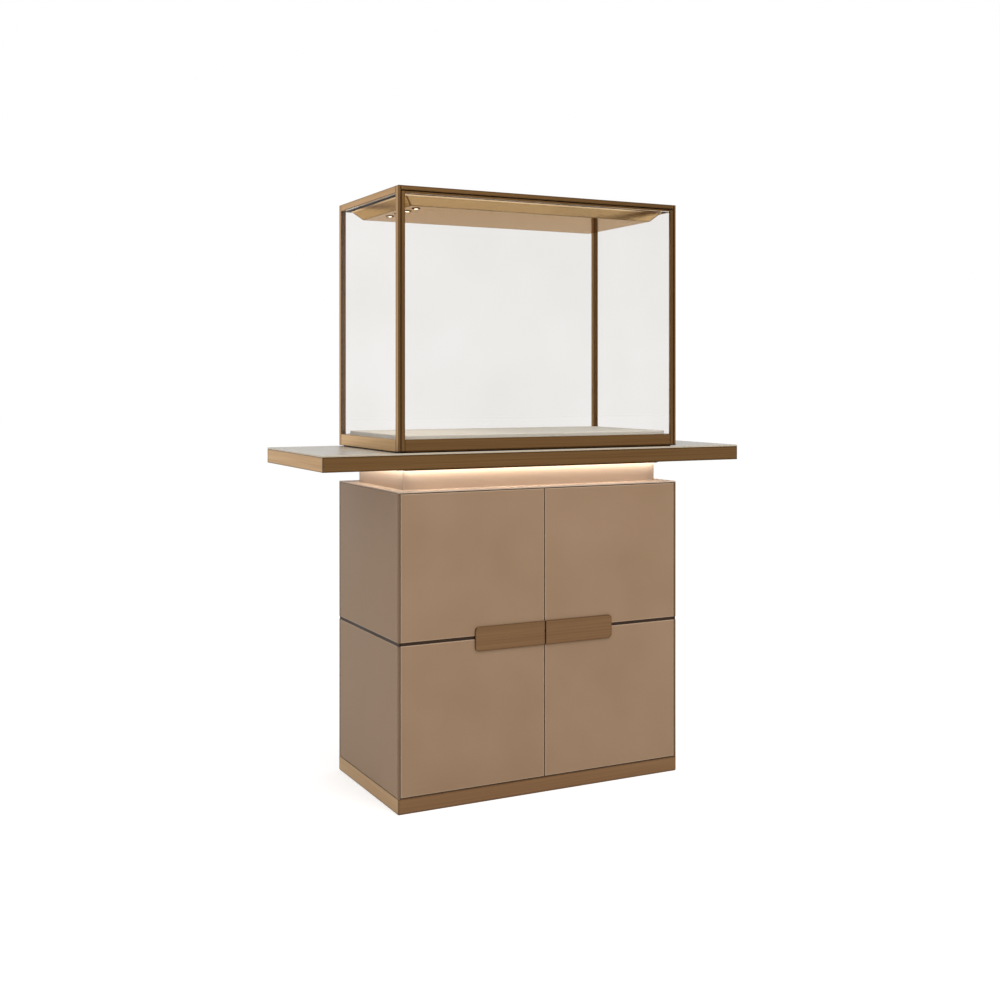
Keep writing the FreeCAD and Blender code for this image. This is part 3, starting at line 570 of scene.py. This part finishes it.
def add_piece(name, fill, body, material):
    """Make a piece from what the fill function adds to an empty shape, and let it ride on a body."""
    shape = bmesh.new()
    fill(shape)
    bmesh.ops.recalc_face_normals(shape, faces=shape.faces)
    mesh = bpy.data.meshes.new(name)
    shape.to_mesh(mesh)
    shape.free()
    mesh.materials.append(materials[material])
    piece = bpy.data.objects.new(name, mesh)
    bpy.context.scene.collection.objects.link(piece)
    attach(piece, body)
    return piece


def add_block(shape, low, high, arris):
    """A block with its edges taken off."""
    low = Vector(low)
    high = Vector(high)
    place = Matrix.Translation((low + high) / 2) @ Matrix.Diagonal((*(high - low), 1))
    block = bmesh.ops.create_cube(shape, size=1, matrix=place)
    edges = {edge for vertex in block["verts"] for edge in vertex.link_edges}
    bmesh.ops.bevel(
        shape, geom=list(edges), offset=arris, segments=ARRIS_SEGMENTS, profile=0.5, affect="EDGES",
    )


def blocks(corners, arris):
    """A fill function for blocks, each given by its lowest and highest corner."""
    def fill(shape):
        for low, high in corners:
            add_block(shape, low, high, arris)

    return fill


def facing(place, direction):
    """A frame at a place whose third axis points in a direction."""
    return Matrix.Translation(place) @ Vector(direction).to_track_quat("Z", "Y").to_matrix().to_4x4()


def sized(form, radius, height):
    """The rows of a turned form at its real size."""
    return [(radius * share, height * level, *corners) for share, level, *corners in form]


def add_turned(shape, profile, frame_of_form, ring=False):
    """A turned form, closed at both ends, or a ring whose last row joins its first."""
    rows = []
    for radius, height, *corners in profile:
        row = []
        for number in range(TURNED_SEGMENTS):
            angle = 2 * math.pi * number / TURNED_SEGMENTS
            reach = radius
            if corners:
                half = math.pi / corners[0]
                reach = radius * math.cos(half) / math.cos(angle % (2 * half) - half)
            point = Vector((reach * math.cos(angle), reach * math.sin(angle), height))
            row.append(shape.verts.new(frame_of_form @ point))
        rows.append(row)
    pairs = list(zip(rows, rows[1:]))
    if ring:
        pairs.append((rows[-1], rows[0]))
    else:
        shape.faces.new(rows[0])
        shape.faces.new(rows[-1])
    for lower, upper in pairs:
        for number in range(TURNED_SEGMENTS):
            after = (number + 1) % TURNED_SEGMENTS
            face = shape.faces.new((lower[number], lower[after], upper[after], upper[number]))
            face.smooth = True


def turned_forms(profile, places, direction, ring=False):
    """A fill function for one turned form at several places."""
    def fill(shape):
        for place in places:
            add_turned(shape, profile, facing(place, direction), ring)

    return fill


def add_screws(name, places, direction, body, height=FLAT_HEAD_HEIGHT, length=FLAT_SHANK_LENGTH):
    """Screws with a rounded head and a six-sided socket in it."""
    shank = [(SHANK_RADIUS, -length), (SHANK_RADIUS, 0)]
    fill = turned_forms(shank + sized(SCREW_HEAD, HEAD_RADIUS, height), places, direction)
    return add_piece(name, fill, body, "hardware_steel")


def make_panes():
    """Panes with polished edges, a hair's breadth clear of the metal round them."""
    for name, (node, thin_axis, body) in PANES.items():
        low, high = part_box(node)
        inset = Vector([0 if axis == thin_axis else PANE_CLEARANCE for axis in range(3)])
        fill = blocks([(low + inset, high - inset)], PANE_ARRIS)
        piece = add_piece(name, fill, body, "clear_glass")
        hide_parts(node)


def make_groove_lining():
    """Dark lining at the bottom of the groove that goes round the cabinet."""
    low_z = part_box("left_door_lower_panel")[1].z
    high_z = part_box("left_door_upper_panel")[0].z
    for side in ("left", "right"):
        core_low, core_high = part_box(f"{side}_door_core")
        panel_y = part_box(f"{side}_door_lower_panel")[0].y
        low = (core_low.x, panel_y + LINING_RECESS, low_z)
        high = (core_high.x, core_low.y, high_z)
        fill = blocks([(low, high)], LINING_ARRIS)
        add_piece(f"{side}_door_groove_lining", fill, f"{side}_door", "dark_lining")

    back_low, back_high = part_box("carcass_back")
    trim_low, trim_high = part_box("corner_trims")
    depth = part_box("left_door_core")[0].y - trim_low.y
    front = trim_low.y + LINING_RECESS
    rear = trim_high.y - LINING_RECESS
    left_low, left_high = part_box("left_side_panels")
    right_low, right_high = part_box("right_side_panels")
    sides = (
        (left_low.x + LINING_RECESS, left_high.x, back_low.x),
        (right_high.x - LINING_RECESS, right_low.x, back_high.x),
    )
    corners = []
    for outer, inner, corner in sides:
        runs = (
            (outer, inner, front, rear),
            (inner, corner, front, trim_low.y + depth),
            (inner, corner, trim_high.y - depth, rear),
        )
        for x_a, x_b, y_low, y_high in runs:
            low = (min(x_a, x_b), y_low, low_z)
            high = (max(x_a, x_b), y_high, high_z)
            corners.append((low, high))
    add_piece("groove_lining", blocks(corners, LINING_ARRIS), "case", "dark_lining")


def make_handle_screws():
    """Screws from inside each door into its handle."""
    for side in ("left", "right"):
        low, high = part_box(f"{side}_handle_screws")
        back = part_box(f"{side}_door_core")[1].y
        middle = (low.z + high.z) / 2
        places = [(x, back, middle) for x in (low.x + HEAD_RADIUS, high.x - HEAD_RADIUS)]
        name = f"{side}_handle_socket_screws"
        piece = add_screws(name, places, REARWARD, f"{side}_door", high.y - back, back - low.y)
        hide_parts(f"{side}_handle_screws")


def make_case_screws():
    """Screws in the back board, the top cover and the inlet's flange."""
    low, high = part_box("carcass_back")
    inset = BACK_SCREW_INSET
    step = (high.z - low.z - 2 * inset) / (BACK_SCREW_ROWS - 1)
    heights = [low.z + inset + row * step for row in range(BACK_SCREW_ROWS)]
    columns = (low.x + inset, 0, high.x - inset)
    places = [(x, high.y, z) for x in columns for z in heights]
    add_screws("back_board_screws", places, REARWARD, "case")

    low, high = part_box("top_cover")
    inset = COVER_SCREW_INSET
    step = (high.x - low.x - 2 * inset) / (COVER_SCREW_COLUMNS - 1)
    columns = [low.x + inset + column * step for column in range(COVER_SCREW_COLUMNS)]
    places = [(x, y, high.z) for x in columns for y in (low.y + inset, high.y - inset)]
    add_screws("top_cover_screws", places, UP, "case")

    low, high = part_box("power_inlet")
    middle = (low.z + high.z) / 2
    places = [(x, high.y, middle) for x in (-INLET_SCREW_OFFSET, INLET_SCREW_OFFSET)]
    add_screws("inlet_screws", places, REARWARD, "case")


def make_inlet_pins():
    """Contact pins in the power inlet's recess."""
    low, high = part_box("power_inlet")
    middle = (low.z + high.z) / 2
    root = high.y - INLET_RECESS_DEPTH
    width, length, height = INLET_PIN_SIZE
    corners = []
    for x, rise in INLET_PIN_PLACES:
        pin_low = (x - width / 2, root, middle + rise - height / 2)
        pin_high = (x + width / 2, root + length, middle + rise + height / 2)
        corners.append((pin_low, pin_high))
    add_piece("inlet_pins", blocks(corners, PIN_ARRIS), "case", "hardware_steel")


def make_bumpers():
    """Soft buttons that the doors close against."""
    profile = sized(BUMPER, BUMPER_RADIUS, BUMPER_HEIGHT)
    for side, way in (("left", -1), ("right", 1)):
        low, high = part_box(f"{side}_door_core")
        heights = (low.z + BUMPER_FROM_ENDS, high.z - BUMPER_FROM_ENDS)
        places = [(way * BUMPER_FROM_GAP, high.y, z) for z in heights]
        fill = turned_forms(profile, places, REARWARD)
        add_piece(f"{side}_door_bumpers", fill, f"{side}_door", "black_plastic")


def spot_places():
    """Centres of the spotlights, where they leave the tray."""
    low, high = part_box("spot_bezels")
    radius = (high.x - low.x) / 2
    step = (high.y - low.y - 2 * radius) / (SPOT_COUNT - 1)
    return [(low.x + radius, low.y + radius + number * step, high.z) for number in range(SPOT_COUNT)]


def make_spots():
    """Rounded bezels, domed lenses, and the light that comes from them."""
    bezel_low, bezel_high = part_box("spot_bezels")
    lens_low, lens_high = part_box("spot_lenses")
    outer = (bezel_high.x - bezel_low.x) / 2
    inner = (lens_high.x - lens_low.x) / 2
    drop = bezel_high.z - bezel_low.z
    places = spot_places()

    profile = sized(BEZEL_INSIDE, inner, drop) + sized(BEZEL_OUTSIDE, outer, drop)
    fill = turned_forms(profile, places, DOWN, ring=True)
    bezels = add_piece("rounded_bezels", fill, "case", "polished_bronze")
    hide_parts("spot_bezels")

    fill = turned_forms(sized(LENS, inner, lens_high.z - lens_low.z), places, DOWN)
    lenses = add_piece("domed_lenses", fill, "case", "spot_light")
    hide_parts("spot_lenses")

    for number, (x, y, z) in enumerate(places):
        lamp = bpy.data.lights.new(f"spot_lamp_{number}", "SPOT")
        lamp.energy = SPOT_POWER
        lamp.color = SPOT_COLOR
        lamp.spot_size = math.radians(SPOT_ANGLE)
        lamp.spot_blend = SPOT_BLEND
        lamp.shadow_soft_size = inner
        add_lamp(lamp, (x, y, z - SPOT_DROP), DOWN)


def seen_directly(tree):
    """One for rays that show the surroundings: to the camera, in gloss and through glass."""
    rays = add_node(tree, "ShaderNodeLightPath").outputs
    gloss = calculate(tree, "MAXIMUM", rays["Is Camera Ray"], rays["Is Glossy Ray"])
    return calculate(tree, "MAXIMUM", gloss, rays["Is Transmission Ray"])


def make_world():
    """White surroundings to look at, and plain soft light from all round."""
    world = bpy.data.worlds.new("studio")
    bpy.context.scene.world = world
    world.use_nodes = True
    tree = world.node_tree
    tree.nodes.clear()
    strength = span(tree, seen_directly(tree), 0, 1, AMBIENT_STRENGTH, 1)
    background = add_node(tree, "ShaderNodeBackground", {"Color": WHITE, "Strength": strength})
    add_node(tree, "ShaderNodeOutputWorld", {"Surface": background.outputs[0]})


def stage_sheet(name, corners):
    """A flat sheet of the stage, and the empty node tree of its material."""
    mesh = bpy.data.meshes.new(name)
    mesh.from_pydata(corners, [], [(0, 1, 2, 3)])
    sheet = bpy.data.objects.new(name, mesh)
    bpy.context.scene.collection.objects.link(sheet)
    material, tree = new_tree(name)
    material.cycles.emission_sampling = "NONE"
    mesh.materials.append(material)
    return sheet, tree


def make_floor():
    """A pale floor that keeps the case's shadow and fades into the white surroundings."""
    half = FLOOR_HALF_WIDTH
    corners = ((-half, -half, 0), (half, -half, 0), (half, half, 0), (-half, half, 0))
    tree = stage_sheet("floor", corners)[1]
    matt = add_node(tree, "ShaderNodeBsdfDiffuse", {"Color": FLOOR_COLOR})
    lift = span(tree, seen_directly(tree), 0, 1, 0, FLOOR_LIFT_STRENGTH)
    glow = add_node(tree, "ShaderNodeEmission", {"Strength": lift})
    show(tree, add_node(tree, "ShaderNodeAddShader", {0: matt.outputs[0], 1: glow.outputs[0]}))


def make_card():
    """A card that is darker towards its top, and that nothing but gloss shows."""
    card, tree = stage_sheet("gloss_card", CARD_CORNERS)
    fade = span(tree, coordinate(tree, "Z"), *CARD_FADE)
    color = mix_color(tree, fade, CARD_LOW_COLOR, CARD_HIGH_COLOR)
    glow = add_node(tree, "ShaderNodeEmission", {"Color": color, "Strength": 1})
    through = add_node(tree, "ShaderNodeBsdfTransparent")
    gloss_count = add_node(tree, "ShaderNodeLightPath").outputs["Glossy Depth"]
    mirrored = calculate(tree, "GREATER_THAN", gloss_count, 0)
    inputs = {0: mirrored, 1: through.outputs[0], 2: glow.outputs[0]}
    show(tree, add_node(tree, "ShaderNodeMixShader", inputs))
    card.visible_camera = False
    card.visible_diffuse = False
    card.visible_shadow = False


def add_lamp(lamp, place, direction):
    """Put up a lamp that lights things but isn't seen itself."""
    lamp_object = bpy.data.objects.new(lamp.name, lamp)
    lamp_object.location = place
    lamp_object.rotation_euler = Vector(direction).to_track_quat("-Z", "Y").to_euler()
    lamp_object.visible_camera = False
    lamp_object.visible_transmission = False
    bpy.context.scene.collection.objects.link(lamp_object)


def area_lamp(name, size, power, color):
    """A flat lamp of a width and a height."""
    lamp = bpy.data.lights.new(name, "AREA")
    lamp.shape = "RECTANGLE"
    lamp.size, lamp.size_y = size
    lamp.energy = power
    lamp.color = color
    return lamp


def make_lamps():
    """The studio's soft lamps."""
    for name, (place, aim, size, power, color) in LAMPS.items():
        add_lamp(area_lamp(name, size, power, color), place, Vector(aim) - Vector(place))


def make_strip_light():
    """Light that falls from the strips under the counter onto the neck and the ledge."""
    low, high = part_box("led_diffusers")
    neck_low, neck_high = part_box("neck_panels")
    width = neck_low.x - low.x
    depth = neck_low.y - low.y
    side_y = (neck_low.y + high.y) / 2
    side_size = (width, high.y - neck_low.y)
    runs = {
        "front": ((0, low.y + depth / 2), (neck_high.x - neck_low.x, depth)),
        "left": ((low.x + width / 2, side_y), side_size),
        "right": ((high.x - width / 2, side_y), side_size),
    }
    for run, ((x, y), size) in runs.items():
        lamp = area_lamp(f"{run}_strip_lamp", size, STRIP_POWER[run], STRIP_COLOR)
        add_lamp(lamp, (x, y, low.z - STRIP_DROP), DOWN)


def make_camera():
    """The camera, at the photograph's viewing angle."""
    camera = bpy.data.cameras.new("camera")
    camera.sensor_fit = "HORIZONTAL"
    camera.sensor_width = CAMERA_SENSOR
    camera.lens = CAMERA_LENS
    camera.shift_y = CAMERA_SHIFT
    camera_object = bpy.data.objects.new("camera", camera)
    camera_object.location = CAMERA_PLACE
    camera_object.rotation_euler = (math.pi / 2, 0, math.radians(CAMERA_TURN))
    bpy.context.scene.collection.objects.link(camera_object)
    bpy.context.scene.camera = camera_object


make_panes()
make_groove_lining()
make_handle_screws()
make_case_screws()
make_inlet_pins()
make_bumpers()
make_world()
make_floor()
make_card()
make_lamps()
make_strip_light()
make_spots()
make_camera()
bpy.context.scene.view_settings.view_transform = "Standard"
